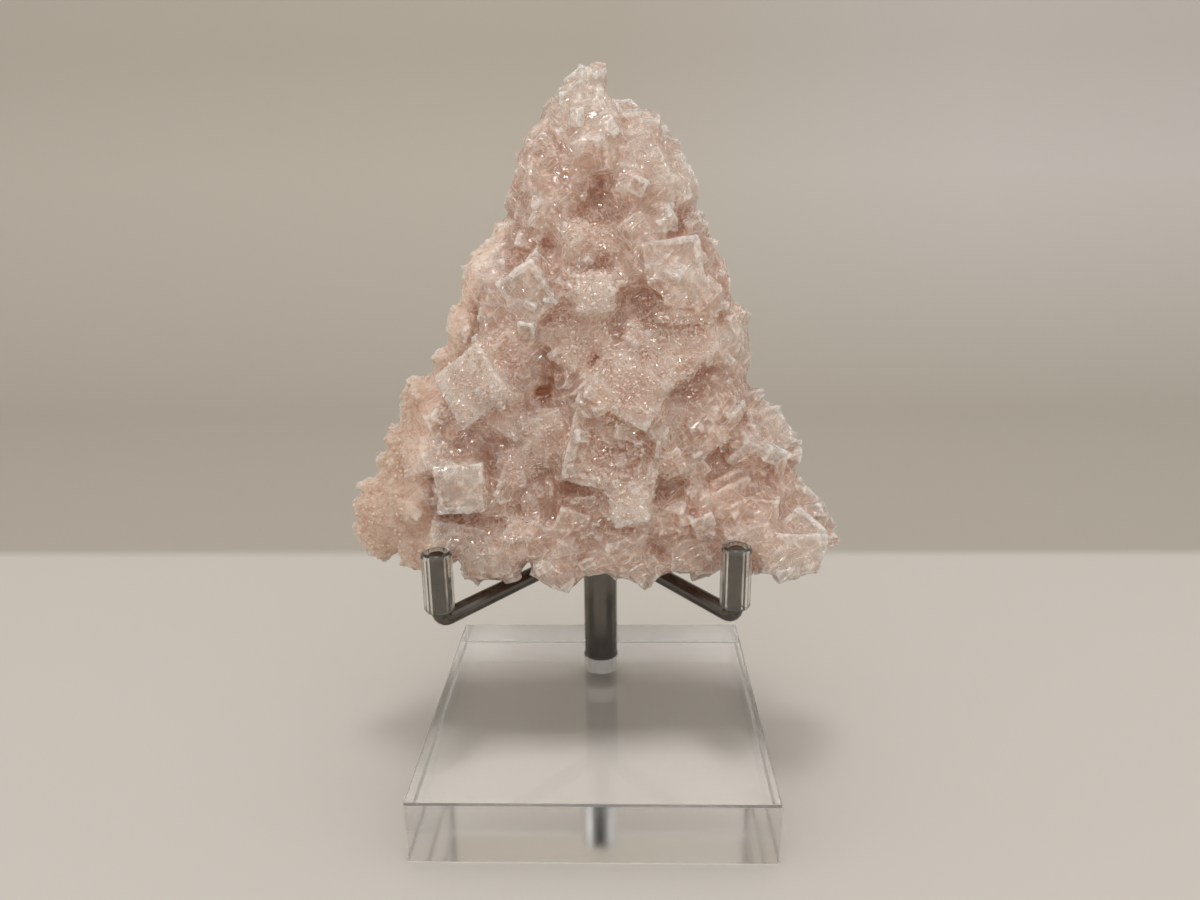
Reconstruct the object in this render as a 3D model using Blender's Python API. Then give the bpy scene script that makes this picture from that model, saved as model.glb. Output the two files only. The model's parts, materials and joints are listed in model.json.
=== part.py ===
# A pink halite crystal cluster resting on a clear block stand with a steel
# post, two steel arms and a back prong, each tipped with a clear sleeve.
# Lengths below are in millimetres, angles in degrees; meshes are in metres.
# The stand's base lies on z = 0, centred on the origin, with the front at -Y.

import math
import random

import bmesh
import bpy
from mathutils import Matrix, Vector, noise
from mathutils.geometry import delaunay_2d_cdt

MM = 0.001
CLEARANCE = 0.3  # gap left between touching pieces

# Base block
BASE_SIDE = 80.0
BASE_HEIGHT = 15.0
BASE_EDGE = 0.4
HOLE_DEPTH = 9.8

# Post
POST_X = 0.6
POST_Y = 23.6
POST_RADIUS = 4.5
POST_TOP = 50.5
POST_CHAMFER = 0.5
SOCKET_REACH = 3.2  # a socket's end, measured from the post's axis

# Arms and back prong
ROD_RADIUS = 2.0
ROD_CHAMFER = 0.4
ROD_INNER = SOCKET_REACH + CLEARANCE
ARM_HEIGHT = 47.8  # centreline where the arm leaves the post
BEND_HEIGHT = 45.8  # centreline where it turns up
BEND_RADIUS = 2.3
TIP_LEFT = (-34.5, -16.5, 61.9)
TIP_RIGHT = (31.9, -14.6, 62.4)
PRONG_FOOT = 46.5
PRONG_TOP = 84.5

# Sleeves
SLEEVE_RADIUS = 3.5
SLEEVE_ROUND = 0.9
SLEEVE_FOOT = 48.2
SLEEVE_OVER_TIP = 0.5
PRONG_SLEEVE_LENGTH = 14.0

ROUND_STEPS = 16  # sides of every round piece

# Halite cluster. Its own frame: X across, Z up the leaning slab, -Y out of
# its front. The outline is where the front and the back meet.
SEAT_Y = 4.0
SEAT_Z = 50.1
LEAN = 6.0
OUTLINE = [
    (-4, 111), (3, 112), (4, 106), (11, 104), (17, 99), (19, 93), (22, 86),
    (26, 79), (29, 72), (33, 65), (35, 56), (35, 43), (39, 37), (45, 26),
    (50, 17), (57, 8), (51, 0), (40, 0), (30, 2), (20, 1), (8, 0), (-4, 0),
    (-14, 0), (-24, 0), (-34, 1), (-47, 2), (-58, 3), (-60, 15), (-55, 23),
    (-50, 31), (-47, 42), (-41, 48), (-34, 58), (-31, 66), (-25, 74),
    (-19, 82), (-16, 91), (-12, 99), (-8, 103),
]
OUTLINE_INSET = 2.2
BODY_SPACING = 11.5  # between the body's inner points
BODY_MERGE = 0.1
FRONT_RISE = 11.0
BACK_RISE = 10.4
EDGE_RUN_LEFT = 8.0  # how slowly the front falls away to the crust side
EDGE_RUN = 3.5
EDGE_RUN_BACK = 5.0
SLAB_TOP = 118.0
THIN_AT_TOP = 0.45  # share of the thickness lost from the bottom to the top
BODY_ROUGHNESS = 1.6
FOOT_LEVEL = 8.0  # the front reaches its full rise by this height
FOOT_SHIFT = 5.0  # how far forward the rim crystals of the foot stand
SEED = 41

# Hollows in the front: across, up, radius, depth
HOLLOWS = [
    (-10, 46, 4.0, 7.0),
    (1, 86, 7.0, 4.0),
    (11, 65, 5.5, 4.5),
    (23, 46, 6.0, 5.0),
    (-29, 33, 5.0, 4.5),
    (-8, 21, 6.0, 3.5),
    (14, 24, 4.0, 3.0),
]

# Crystals set by hand on the front: across, up, how far they stand out,
# width, height, depth, turn in the face (anticlockwise seen from the
# front), tip back, swing to the right, hopper steps
CRYSTALS = [
    # knob and shoulders
    (-3, 105, 2, 9, 10, 10, 12, 5, 20, 0),
    (0, 108, 1, 6, 9, 7, -8, -6, -10, 0),
    (1, 112, 0, 3.5, 8, 4, -8, 4, 15, 0),
    (-5, 108, 1, 4, 7, 6, -15, 10, 25, 0),
    (-1, 101, 3, 12, 8, 11, 25, 12, -15, 1),
    (-9, 98, 3, 9, 8, 10, 30, 5, -20, 0),
    (8, 101, 2, 9, 6, 8, -20, 10, 20, 0),
    (13, 99, 2, 9, 7, 9, -32, 5, 30, 0),
    (17, 96, 3, 7, 8, 8, -14, -8, 20, 0),
    (19, 90, 4, 8, 11, 9, 18, -6, 22, 1),
    (8, 97, 3, 7, 7, 7, -6, 15, 0, 0),
    (0, 95, 4, 8, 7, 8, 9, -10, -14, 1),
    (13, 92, 4, 8, 8, 8, 24, 8, 10, 0),
    (-12, 93, 3, 8, 10, 9, 14, -8, -28, 0),
    (-10, 89, 4, 6, 9, 8, 2, 5, 12, 0),
    (-4, 90, 3, 7, 7, 7, -12, 12, -10, 1),
    # upper middle
    (-16, 85, 2, 7, 8, 8, 36, 0, -30, 0),
    (-17, 78, 3, 9, 7, 8, 42, 10, -20, 0),
    (-9, 82, 3, 8, 6, 7, -24, -6, 10, 0),
    (0, 78, 3, 13, 5, 7, -9, 14, 4, 1),
    (10, 79, 2, 6, 7, 7, 33, -10, 10, 0),
    (21, 82, 2, 7, 9, 8, 5, 0, 28, 0),
    (18, 73, 4, 13, 9, 9, 8, 6, 12, 1),
    (27, 71, 3, 8, 7, 8, -12, 0, 30, 0),
    (-24, 73, 3, 8, 8, 8, 26, 4, -26, 0),
    (-14, 66, 5, 10, 11, 9, 31, -8, -14, 1),
    (-21, 63, 3, 9, 7, 8, -6, 12, -18, 0),
    (1, 66, 5, 8, 8, 7, 3, 8, 8, 0),
    (-6, 72, 2, 7, 5, 6, 14, -12, -6, 0),
    # ledges on the right
    (22, 67, 3, 14, 2.2, 8, -3, 0, 12, 0),
    (23, 63.5, 4, 15, 2, 8, -5, 4, 14, 0),
    (21, 60.5, 4, 13, 2.4, 8, -1, -4, 10, 0),
    # middle
    (19, 54, 5, 17, 12, 9, 36, 20, 10, 0),
    (-3, 57, 4, 13, 9, 8, 22, 14, -4, 0),
    (30, 55, 3, 9, 9, 9, 11, 0, 32, 0),
    (33, 48, 2, 7, 7, 8, -22, 8, 30, 0),
    (-27, 46, 5, 14, 14, 11, 35, 4, -22, 0),
    (-18, 54, 4, 9, 8, 8, 15, -10, -12, 0),
    (-12, 49, 4, 4, 4, 7, -8, 0, 6, 0),
    (8, 45, 5, 16, 12, 9, -31, 12, 6, 0),
    (-3, 44, 4, 4, 13, 8, 2, 0, -10, 0),
    (-10, 35, 5, 9, 9, 8, 21, -8, 8, 1),
    (-19, 38, 3, 8, 6, 7, -32, 6, -10, 0),
    (5, 31, 5, 21, 17, 11, -14, 4, 6, 3),
    (-30, 23, 7, 11, 11, 12, 4, 5, -8, 2),
    (-30, 33, 1, 3, 3, 6, -6, 0, 0, 0),
    (-18, 27, 4, 7, 8, 7, -10, 8, 8, 1),
    (-37, 30, 2, 7, 8, 8, 12, 0, -30, 0),
    # right flank
    (38, 40, 3, 7, 6, 8, 8, 0, 26, 0),
    (42, 35, 3, 8, 8, 8, 12, 4, 30, 1),
    (44, 27, 3, 7, 9, 8, -6, -4, 28, 0),
    (18, 28, 4, 5, 6, 7, 22, -10, 10, 0),
    (49, 14, 2, 10, 14, 9, 24, 0, 20, 1),
    (45, 7, 4, 13, 9, 9, -3, 6, 12, 0),
    (36, 9, 4, 10, 8, 9, 17, -6, 14, 0),
    # lower middle
    (8, 19, 5, 8, 8, 7, 14, 6, 4, 1),
    (-5, 14, 4, 7, 7, 7, -22, -8, 0, 0),
    (-12, 20, 3, 8, 5, 7, 38, 10, -8, 0),
    (15, 14, 4, 8, 7, 8, -28, 0, 12, 0),
    # foot
    (-32, 10, 6, 13, 7, 9, -8, 8, -10, 0),
    (-23, 7, 4, 10, 8, 9, 6, -6, -8, 0),
    (-16, 11, 4, 7, 8, 8, -12, 4, 6, 0),
    (-8, 7, 5, 6, 12, 9, 2, 0, -6, 0),
    (0, 7, 5, 9, 9, 9, -6, 6, 4, 0),
    (8, 7, 5, 8, 8, 9, 19, -8, 8, 0),
    (12, 3, 5, 7, 7, 8, 43, 0, 6, 0),
    (-25, 4, 5, 12, 6, 9, 4, 0, -10, 0),
    (-9, 2.5, 5, 10, 6, 9, -27, 6, 0, 0),
    (24, 6, 4, 12, 8, 9, -5, 6, 10, 0),
    (22, 12, 3, 9, 5, 8, 12, -10, 8, 0),
    (2, 4.5, 5, 8, 6, 9, 10, 0, 0, 0),
    (-41, 6, 4, 11, 8, 8, -6, 0, -14, 0),
    (16, 3.6, -3, 6, 7, 11, 5, 0, 10, 0),
]

# Parallel growth ribs: middle across, up, how far out, length, width of one
# rib, how many, turn in the face, swing
RIB_SETS = [
    (26, 38, 4, 18, 2.3, 5, 44, 12),
    (31, 20, 4, 17, 2.2, 4, 21, 16),
]

# Seeded small blocks
SMALL_SPACING = 10.4
SMALL_SIDES = (4.5, 8.5)
SMALL_TILT = 32.0
CRUST_SPACING = 7.8
CRUST_SIDES = (6.0, 9.0)
CRUST_LINE = [(2, -38), (25, -42), (45, -37), (60, -31), (75, -25), (82, -21)]
RIM_SPACING = 9.5
RIM_SIDES = (4.2, 7.0)
LUMP_CORNERS = 11
BACK_SPACING = 16.5
BACK_SIDES = (9.0, 15.0)
STEP_RIM = 0.13  # width of one hopper step, as a share of the side
STEP_DROP = 0.9


def clear_scene():
    for obj in list(bpy.data.objects):
        bpy.data.objects.remove(obj, do_unlink=True)


def make_material(name, colour, roughness, metallic=0.0, transmission=0.0, ior=1.5):
    material = bpy.data.materials.new(name)
    material.use_nodes = True
    shader = material.node_tree.nodes["Principled BSDF"]
    shader.inputs["Base Color"].default_value = (*colour, 1.0)
    shader.inputs["Roughness"].default_value = roughness
    shader.inputs["Metallic"].default_value = metallic
    shader.inputs["Transmission Weight"].default_value = transmission
    shader.inputs["IOR"].default_value = ior
    material.diffuse_color = (*colour, 1.0)
    return material


def add_object(name, points, faces, material=None):
    """A mesh object from points in millimetres, with its normals outward."""
    mesh = bpy.data.meshes.new(name)
    mesh.from_pydata([Vector(p) * MM for p in points], [], faces)
    build = bmesh.new()
    build.from_mesh(mesh)
    bmesh.ops.recalc_face_normals(build, faces=build.faces)
    build.to_mesh(mesh)
    build.free()
    if material:
        mesh.materials.append(material)
    obj = bpy.data.objects.new(name, mesh)
    bpy.context.scene.collection.objects.link(obj)
    return obj


def place(obj, x, y, z):
    obj.location = Vector((x, y, z)) * MM
    return obj


def as_cutter(obj):
    obj.hide_render = True
    obj.display_type = "WIRE"
    return obj


def cut(obj, cutter):
    modifier = obj.modifiers.new("Cut " + cutter.name, "BOOLEAN")
    modifier.operation = "DIFFERENCE"
    modifier.solver = "EXACT"
    modifier.object = as_cutter(cutter)


def shade_by_angle(obj, angle=40.0):
    """Smooth shading that keeps edges sharper than the angle."""
    obj.data.shade_smooth()
    build = bmesh.new()
    build.from_mesh(obj.data)
    for edge in build.edges:
        edge.smooth = edge.calc_face_angle(math.pi) < math.radians(angle)
    build.to_mesh(obj.data)
    build.free()


def lathe(name, profile, material=None, closed=False):
    """A turned solid about Z. A closed profile makes a ring."""
    points = []
    for step in range(ROUND_STEPS):
        angle = 2 * math.pi * step / ROUND_STEPS
        points += [
            (r * math.cos(angle), r * math.sin(angle), z) for r, z in profile
        ]
    count = len(profile)
    spans = count if closed else count - 1
    faces = []
    for step in range(ROUND_STEPS):
        here = step * count
        there = (step + 1) % ROUND_STEPS * count
        for i in range(spans):
            j = (i + 1) % count
            faces.append((here + i, there + i, there + j, here + j))
    if not closed:
        faces.append([step * count for step in range(ROUND_STEPS)])
        faces.append([step * count + count - 1 for step in range(ROUND_STEPS)])
    obj = add_object(name, points, faces, material)
    shade_by_angle(obj)
    return obj


def chamfered_rod(name, radius, foot, top, chamfer, material=None):
    profile = [
        (radius - chamfer, foot),
        (radius, foot + chamfer),
        (radius, top - chamfer),
        (radius - chamfer, top),
    ]
    return lathe(name, profile, material)


def make_base(material):
    half = BASE_SIDE / 2
    points = [
        (x, y, z)
        for z in (0, BASE_HEIGHT)
        for x, y in ((-half, -half), (half, -half), (half, half), (-half, half))
    ]
    faces = [(0, 1, 2, 3), (4, 5, 6, 7)]
    faces += [(i, (i + 1) % 4, (i + 1) % 4 + 4, i + 4) for i in range(4)]
    base = add_object("acrylic_base", points, faces, material)
    bevel = base.modifiers.new("Edges", "BEVEL")
    bevel.width = BASE_EDGE * MM
    bevel.segments = 1
    radius = POST_RADIUS + CLEARANCE
    profile = [(radius, BASE_HEIGHT - HOLE_DEPTH), (radius, BASE_HEIGHT + 5)]
    cutter = lathe("post_hole_cutter", profile)
    cut(base, place(cutter, POST_X, POST_Y, 0))
    return base


def heading(tip):
    """Distance and direction of a tip from the post's axis."""
    across = tip[0] - POST_X
    along = tip[1] - POST_Y
    return math.hypot(across, along), math.atan2(along, across)


def make_post(material):
    foot = BASE_HEIGHT - HOLE_DEPTH + CLEARANCE
    post = chamfered_rod(
        "post", POST_RADIUS, foot, POST_TOP, POST_CHAMFER, material
    )
    place(post, POST_X, POST_Y, 0)
    bore = ROD_RADIUS + CLEARANCE
    for name, tip in (("left", TIP_LEFT), ("right", TIP_RIGHT)):
        profile = [(bore, SOCKET_REACH), (bore, POST_RADIUS + 3)]
        socket = lathe(name + "_socket_cutter", profile)
        place(socket, POST_X, POST_Y, ARM_HEIGHT)
        socket.rotation_euler = (0, math.pi / 2, heading(tip)[1])
        cut(post, socket)
    profile = [(bore, PRONG_FOOT - CLEARANCE), (bore, POST_TOP + 3)]
    socket = lathe("prong_socket_cutter", profile)
    cut(post, place(socket, POST_X, POST_Y, 0))
    return post


def arm_path(reach, top):
    """Centreline of an arm as (distance from the post, height) points."""
    slope = math.atan2(BEND_HEIGHT - ARM_HEIGHT, reach)
    turn = math.pi / 2 - slope
    setback = BEND_RADIUS * math.tan(turn / 2)
    centre = (
        reach - BEND_RADIUS,
        BEND_HEIGHT + setback,
    )
    path = [(ROD_INNER, ARM_HEIGHT), (ROD_INNER + ROD_CHAMFER, ARM_HEIGHT)]
    bend_steps = 6
    for step in range(bend_steps + 1):
        angle = slope - math.pi / 2 + turn * step / bend_steps
        path.append(
            (
                centre[0] + BEND_RADIUS * math.cos(angle),
                centre[1] + BEND_RADIUS * math.sin(angle),
            )
        )
    path += [(reach, top - ROD_CHAMFER), (reach, top)]
    return path


def make_arm(name, tip, material):
    reach, direction = heading(tip)
    path = [Vector((r, 0, z)) for r, z in arm_path(reach, tip[2])]
    points = []
    for i, here in enumerate(path):
        before = path[max(i - 1, 0)]
        after = path[min(i + 1, len(path) - 1)]
        along = (after - before).normalized()
        side = Vector((0, 1, 0))
        over = along.cross(side)
        at_end = i in (0, len(path) - 1)
        radius = ROD_RADIUS - (ROD_CHAMFER if at_end else 0)
        for step in range(ROUND_STEPS):
            angle = 2 * math.pi * step / ROUND_STEPS
            points.append(
                here
                + side * radius * math.cos(angle)
                + over * radius * math.sin(angle)
            )
    faces = []
    for i in range(len(path) - 1):
        for step in range(ROUND_STEPS):
            a = i * ROUND_STEPS + step
            b = i * ROUND_STEPS + (step + 1) % ROUND_STEPS
            faces.append((a, b, b + ROUND_STEPS, a + ROUND_STEPS))
    faces.append(list(range(ROUND_STEPS)))
    faces.append([len(points) - 1 - step for step in range(ROUND_STEPS)])
    arm = add_object(name, points, faces, material)
    shade_by_angle(arm)
    place(arm, POST_X, POST_Y, 0)
    arm.rotation_euler = (0, 0, direction)
    return arm


def make_prong(material):
    prong = chamfered_rod(
        "back_prong", ROD_RADIUS, PRONG_FOOT, PRONG_TOP, ROD_CHAMFER, material
    )
    return place(prong, POST_X, POST_Y, 0)


def make_sleeve(name, x, y, foot, top, material):
    inner = ROD_RADIUS + CLEARANCE
    outer = SLEEVE_RADIUS
    soft = SLEEVE_ROUND
    slant = soft * (1 - math.sqrt(0.5))
    profile = [
        (inner, foot),
        (outer - soft, foot),
        (outer - slant, foot + slant),
        (outer, foot + soft),
        (outer, top - soft),
        (outer - slant, top - slant),
        (outer - soft, top),
        (inner, top),
    ]
    return place(lathe(name, profile, material, closed=True), x, y, 0)


def inset_outline():
    """The outline moved in, so that the crystals on its edge reach it."""
    inner = []
    count = len(OUTLINE)
    for i, here in enumerate(OUTLINE):
        before = Vector(OUTLINE[i - 1])
        after = Vector(OUTLINE[(i + 1) % count])
        along = (after - before).normalized()
        inward = Vector((along.y, -along.x))
        inner.append(Vector(here) + inward * OUTLINE_INSET)
    return inner


def edge_distance(point, ring):
    """Distance of a point from a closed line, negative outside it."""
    best = 1e9
    inside = False
    for i, start in enumerate(ring):
        end = ring[(i + 1) % len(ring)]
        span = end - start
        share = (point - start).dot(span) / span.length_squared
        nearest = start + span * min(max(share, 0), 1)
        best = min(best, (point - nearest).length)
        crosses = (start.y > point.y) != (end.y > point.y)
        if crosses and point.x < start.x + span.x * (point.y - start.y) / span.y:
            inside = not inside
    return best if inside else -best


def crust_edge(up):
    """How far across the crust of the left flank reaches at this height."""
    for (low, at_low), (high, at_high) in zip(CRUST_LINE, CRUST_LINE[1:]):
        if up <= high:
            return at_low + (at_high - at_low) * (up - low) / (high - low)
    return -SLAB_TOP


def front_depth(point, ring):
    """How far the body's front stands out at a point of the outline plane."""
    inner = max(edge_distance(point, ring), 0)
    run = EDGE_RUN_LEFT if point.x < crust_edge(point.y) + 8 else EDGE_RUN
    thin = 1 - THIN_AT_TOP * point.y / SLAB_TOP
    lumps = noise.noise(Vector((point.x, point.y, SEED)) / 9) * BODY_ROUGHNESS
    depth = (FRONT_RISE + 2 * lumps) * thin * (1 - math.exp(-inner / run))
    for across, up, radius, deep in HOLLOWS:
        away = (point - Vector((across, up))).length / radius
        depth -= deep * math.exp(-away * away)
    return max(depth, 0)


def back_depth(point, ring):
    inner = max(edge_distance(point, ring), 0)
    thin = 1 - THIN_AT_TOP * point.y / SLAB_TOP
    lumps = noise.noise(Vector((point.x, point.y, -SEED)) / 11) * BODY_ROUGHNESS
    return (BACK_RISE + lumps) * thin * (1 - math.exp(-inner / EDGE_RUN_BACK))


def scattered(spacing, rng, ring, keep):
    """Jittered points of a staggered grid that keep() accepts."""
    found = []
    rows = int(SLAB_TOP / spacing) + 2
    columns = int(130 / spacing) + 2
    for row in range(rows):
        for column in range(columns):
            across = -65 + (column + 0.5 * (row % 2)) * spacing
            up = row * spacing * 0.87
            jitter = [rng.uniform(-0.3, 0.3) * spacing for _ in range(2)]
            point = Vector((across + jitter[0], up + jitter[1]))
            if keep(point, edge_distance(point, ring)):
                found.append(point)
    return found


def make_body(rng, ring):
    """The cluster's massive part: a lumpy slab, thin at its edge."""
    inner = scattered(
        BODY_SPACING, rng, ring, lambda point, away: away > BODY_SPACING * 0.35
    )
    flat = ring + inner
    loop = list(range(len(ring)))
    net = delaunay_2d_cdt(flat, [], [loop], 1, 1e-4)
    flat_points = net[0]
    on_edge = {
        i
        for i, point in enumerate(flat_points)
        if abs(edge_distance(point, ring)) < BODY_MERGE
    }
    points = [(p.x, -front_depth(p, ring), p.y) for p in flat_points]
    behind = {}
    for i, point in enumerate(flat_points):
        if i in on_edge:
            behind[i] = i
            points[i] = (point.x, 0, point.y)
        else:
            behind[i] = len(points)
            points.append((point.x, back_depth(point, ring), point.y))
    faces = [tuple(face) for face in net[2]]
    faces += [tuple(behind[i] for i in reversed(face)) for face in net[2]]
    return points, faces


def block(width, height, depth, steps):
    """A cube-like crystal, front face at -Y, with hopper steps in that face."""
    x = width / 2
    z = height / 2
    corners = ((-x, -z), (x, -z), (x, z), (-x, z))
    points = [(cx, depth, cz) for cx, cz in corners]
    points += [(cx, 0, cz) for cx, cz in corners]
    faces = [(0, 1, 2, 3)]
    faces += [(i, (i + 1) % 4, (i + 1) % 4 + 4, i + 4) for i in range(4)]
    rim = STEP_RIM * min(width, height)
    for step in range(1, steps + 1):
        shrink = rim * step
        start = len(points)
        for drop in (STEP_DROP * (step - 1), STEP_DROP * step):
            points += [
                (cx - math.copysign(shrink, cx), drop, cz - math.copysign(shrink, cz))
                for cx, cz in corners
            ]
        for i in range(4):
            j = (i + 1) % 4
            faces.append((start - 4 + i, start - 4 + j, start + j, start + i))
            faces.append((start + i, start + j, start + 4 + j, start + 4 + i))
    last = len(points) - 4
    faces.append((last, last + 1, last + 2, last + 3))
    return points, faces


def turned(shape, middle, turn, tip, swing):
    """A block moved so that its front face's middle is at a point."""
    spin = Matrix.Rotation(math.radians(-turn), 4, "Y")
    tilt = Matrix.Rotation(math.radians(-tip), 4, "X")
    pan = Matrix.Rotation(math.radians(swing), 4, "Z")
    matrix = Matrix.Translation(middle) @ pan @ tilt @ spin
    points, faces = shape
    return [matrix @ Vector(p) for p in points], faces


def stand_out(across, up, proud, ring):
    """Where a crystal's front face is: the foot ones stand below the body."""
    surface = Vector((across, max(up, FOOT_LEVEL)))
    return Vector((across, -front_depth(surface, ring) - proud, up))


def hand_set(ring):
    shapes = []
    for across, up, proud, width, height, depth, turn, tip, swing, steps in CRYSTALS:
        middle = stand_out(across, up, proud, ring)
        shape = block(width, height, depth + proud, steps)
        shapes.append(turned(shape, middle, turn, tip, swing))
    return shapes


def rib_blocks(ring):
    """Rows of long thin blocks side by side, each a little lower."""
    shapes = []
    for across, up, proud, length, width, count, turn, swing in RIB_SETS:
        out = -stand_out(across, up, proud, ring).y
        slant = math.radians(turn)
        for i in range(count):
            shift = (i - (count - 1) / 2) * width
            middle = Vector(
                (
                    across - shift * math.sin(slant),
                    -out + 0.9 * (i % 2) + 0.3 * i,
                    up + shift * math.cos(slant),
                )
            )
            reach = length - 2.0 * (i % 3)
            shape = block(reach, width + 0.3, 9, 0)
            shapes.append(turned(shape, middle, turn + i % 2, 0, swing))
    return shapes


def small_blocks(rng, ring):
    """Seeded crystals that fill the front between the larger ones."""
    shapes = []
    spots = scattered(
        SMALL_SPACING,
        rng,
        ring,
        lambda point, away: away > 0.5 and point.x > crust_edge(point.y),
    )
    for spot in spots:
        side = rng.uniform(*SMALL_SIDES)
        width = side * rng.uniform(0.8, 1.3)
        out = front_depth(spot, ring) + rng.uniform(0.25, 0.5) * side
        shape = block(width, side, side * 1.6, int(rng.random() < 0.15))
        tilts = [rng.uniform(-SMALL_TILT, SMALL_TILT) for _ in range(2)]
        middle = Vector((spot.x, -out, spot.y))
        shapes.append(turned(shape, middle, rng.uniform(-45, 45), *tilts))
    return shapes


def lump(rng, side):
    """A rough closed knob: the hull of seeded points on a squashed ball."""
    build = bmesh.new()
    for _ in range(LUMP_CORNERS):
        point = Vector([rng.gauss(0, 1) for _ in range(3)]).normalized()
        build.verts.new(point * side / 2 * rng.uniform(0.85, 1.15))
    hull = bmesh.ops.convex_hull(build, input=build.verts)
    spare = [v for v in hull["geom_interior"] if isinstance(v, bmesh.types.BMVert)]
    bmesh.ops.delete(build, geom=spare, context="VERTS")
    build.verts.index_update()
    points = [v.co.copy() for v in build.verts]
    faces = [tuple(v.index for v in face.verts) for face in build.faces]
    build.free()
    return points, faces


def crust_lumps(rng, ring):
    shapes = []
    spots = scattered(
        CRUST_SPACING,
        rng,
        ring,
        lambda point, away: away > 0 and point.x <= crust_edge(point.y),
    )
    for spot in spots:
        side = rng.uniform(*CRUST_SIDES)
        points, faces = lump(rng, side)
        out = front_depth(spot, ring) - 0.12 * side
        middle = Vector((spot.x, -out, spot.y))
        shapes.append(([p + middle for p in points], faces))
    return shapes


def rim_blocks(rng, ring):
    """Crystals and knobs along the outline, half on each side of it."""
    shapes = []
    for i, start in enumerate(ring):
        end = ring[(i + 1) % len(ring)]
        pieces = max(round((end - start).length / RIM_SPACING), 1)
        for step in range(pieces):
            spot = start.lerp(end, (step + rng.uniform(0.2, 0.8)) / pieces)
            side = rng.uniform(*RIM_SIDES)
            if spot.x < crust_edge(spot.y):
                points, faces = lump(rng, side * 1.15)
                middle = Vector((spot.x, rng.uniform(-1.5, 2), spot.y))
                shapes.append(([p + middle for p in points], faces))
                continue
            shape = block(side, side * rng.uniform(0.8, 1.2), side * 1.5, 0)
            front = side * 0.8
            if spot.y < FOOT_LEVEL / 2:
                front += FOOT_SHIFT
            middle = Vector((spot.x, -front + rng.uniform(-1.5, 1.5), spot.y))
            tilts = [rng.uniform(-25, 25) for _ in range(2)]
            shapes.append(turned(shape, middle, rng.uniform(-45, 45), *tilts))
    return shapes


def back_blocks(rng, ring):
    """Broad blocky crystals on the hidden back."""
    shapes = []
    spots = scattered(BACK_SPACING, rng, ring, lambda point, away: away > 3)
    for spot in spots:
        side = rng.uniform(*BACK_SIDES)
        shape = block(side, side * rng.uniform(0.7, 1.1), side, 0)
        middle = Vector((spot.x, back_depth(spot, ring) + 0.12 * side, spot.y))
        tilts = [rng.uniform(-20, 20), 180 + rng.uniform(-20, 20)]
        shapes.append(turned(shape, middle, rng.uniform(-45, 45), *tilts))
    return shapes


def join_shapes(shapes):
    points = []
    faces = []
    for shape_points, shape_faces in shapes:
        start = len(points)
        points += shape_points
        faces += [tuple(start + i for i in face) for face in shape_faces]
    return points, faces


def islands(build):
    """The connected pieces of a bmesh, each as a list of its faces."""
    waiting = set(build.faces)
    found = []
    while waiting:
        front = [waiting.pop()]
        piece = list(front)
        while front:
            for edge in front.pop().edges:
                for face in edge.link_faces:
                    if face in waiting:
                        waiting.remove(face)
                        front.append(face)
                        piece.append(face)
        found.append(piece)
    return found


def keep_largest_island(obj):
    """Bakes the modifiers in and drops sealed voids and stray crystals."""
    graph = bpy.context.evaluated_depsgraph_get()
    mesh = bpy.data.meshes.new_from_object(obj.evaluated_get(graph))
    build = bmesh.new()
    build.from_mesh(mesh)
    pieces = sorted(islands(build), key=len)
    spare = [face for piece in pieces[:-1] for face in piece]
    bmesh.ops.delete(build, geom=spare, context="FACES")
    build.to_mesh(mesh)
    build.free()
    obj.modifiers.clear()
    obj.data = mesh


def make_halite(material):
    rng = random.Random(SEED)
    ring = inset_outline()
    halite = add_object("halite", *make_body(rng, ring), material)
    shapes = hand_set(ring) + rib_blocks(ring)
    shapes += small_blocks(rng, ring) + crust_lumps(rng, ring)
    shapes += rim_blocks(rng, ring) + back_blocks(rng, ring)
    grown = as_cutter(add_object("crystal_growth", *join_shapes(shapes)))
    union = halite.modifiers.new("Grow", "BOOLEAN")
    union.operation = "UNION"
    union.solver = "EXACT"
    union.use_self = True
    union.object = grown
    keep_largest_island(halite)
    bpy.data.objects.remove(grown, do_unlink=True)
    place(halite, 0, SEAT_Y, SEAT_Z)
    halite.rotation_euler = (math.radians(-LEAN), 0, 0)
    return halite


def build():
    clear_scene()
    clear = make_material("clear acrylic", (0.92, 0.93, 0.92), 0.02, 0.0, 1.0, 1.49)
    steel = make_material("satin steel", (0.36, 0.34, 0.31), 0.3, 1.0)
    vinyl = make_material("clear vinyl", (0.9, 0.9, 0.88), 0.08, 0.0, 0.9, 1.53)
    pink = make_material("pink halite", (0.78, 0.56, 0.47), 0.25, 0.0, 0.2, 1.544)
    make_base(clear)
    make_post(steel)
    make_arm("arm_left", TIP_LEFT, steel)
    make_arm("arm_right", TIP_RIGHT, steel)
    make_prong(steel)
    for name, tip in (("sleeve_left", TIP_LEFT), ("sleeve_right", TIP_RIGHT)):
        top = tip[2] + SLEEVE_OVER_TIP
        make_sleeve(name, tip[0], tip[1], SLEEVE_FOOT, top, vinyl)
    top = PRONG_TOP + SLEEVE_OVER_TIP
    foot = top - PRONG_SLEEVE_LENGTH
    make_sleeve("sleeve_back", POST_X, POST_Y, foot, top, vinyl)
    make_halite(pink)


build()
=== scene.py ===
import json
import math

import bmesh
import bpy
import numpy as np
from mathutils import Matrix, Vector, noise
from mathutils.kdtree import KDTree

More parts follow.
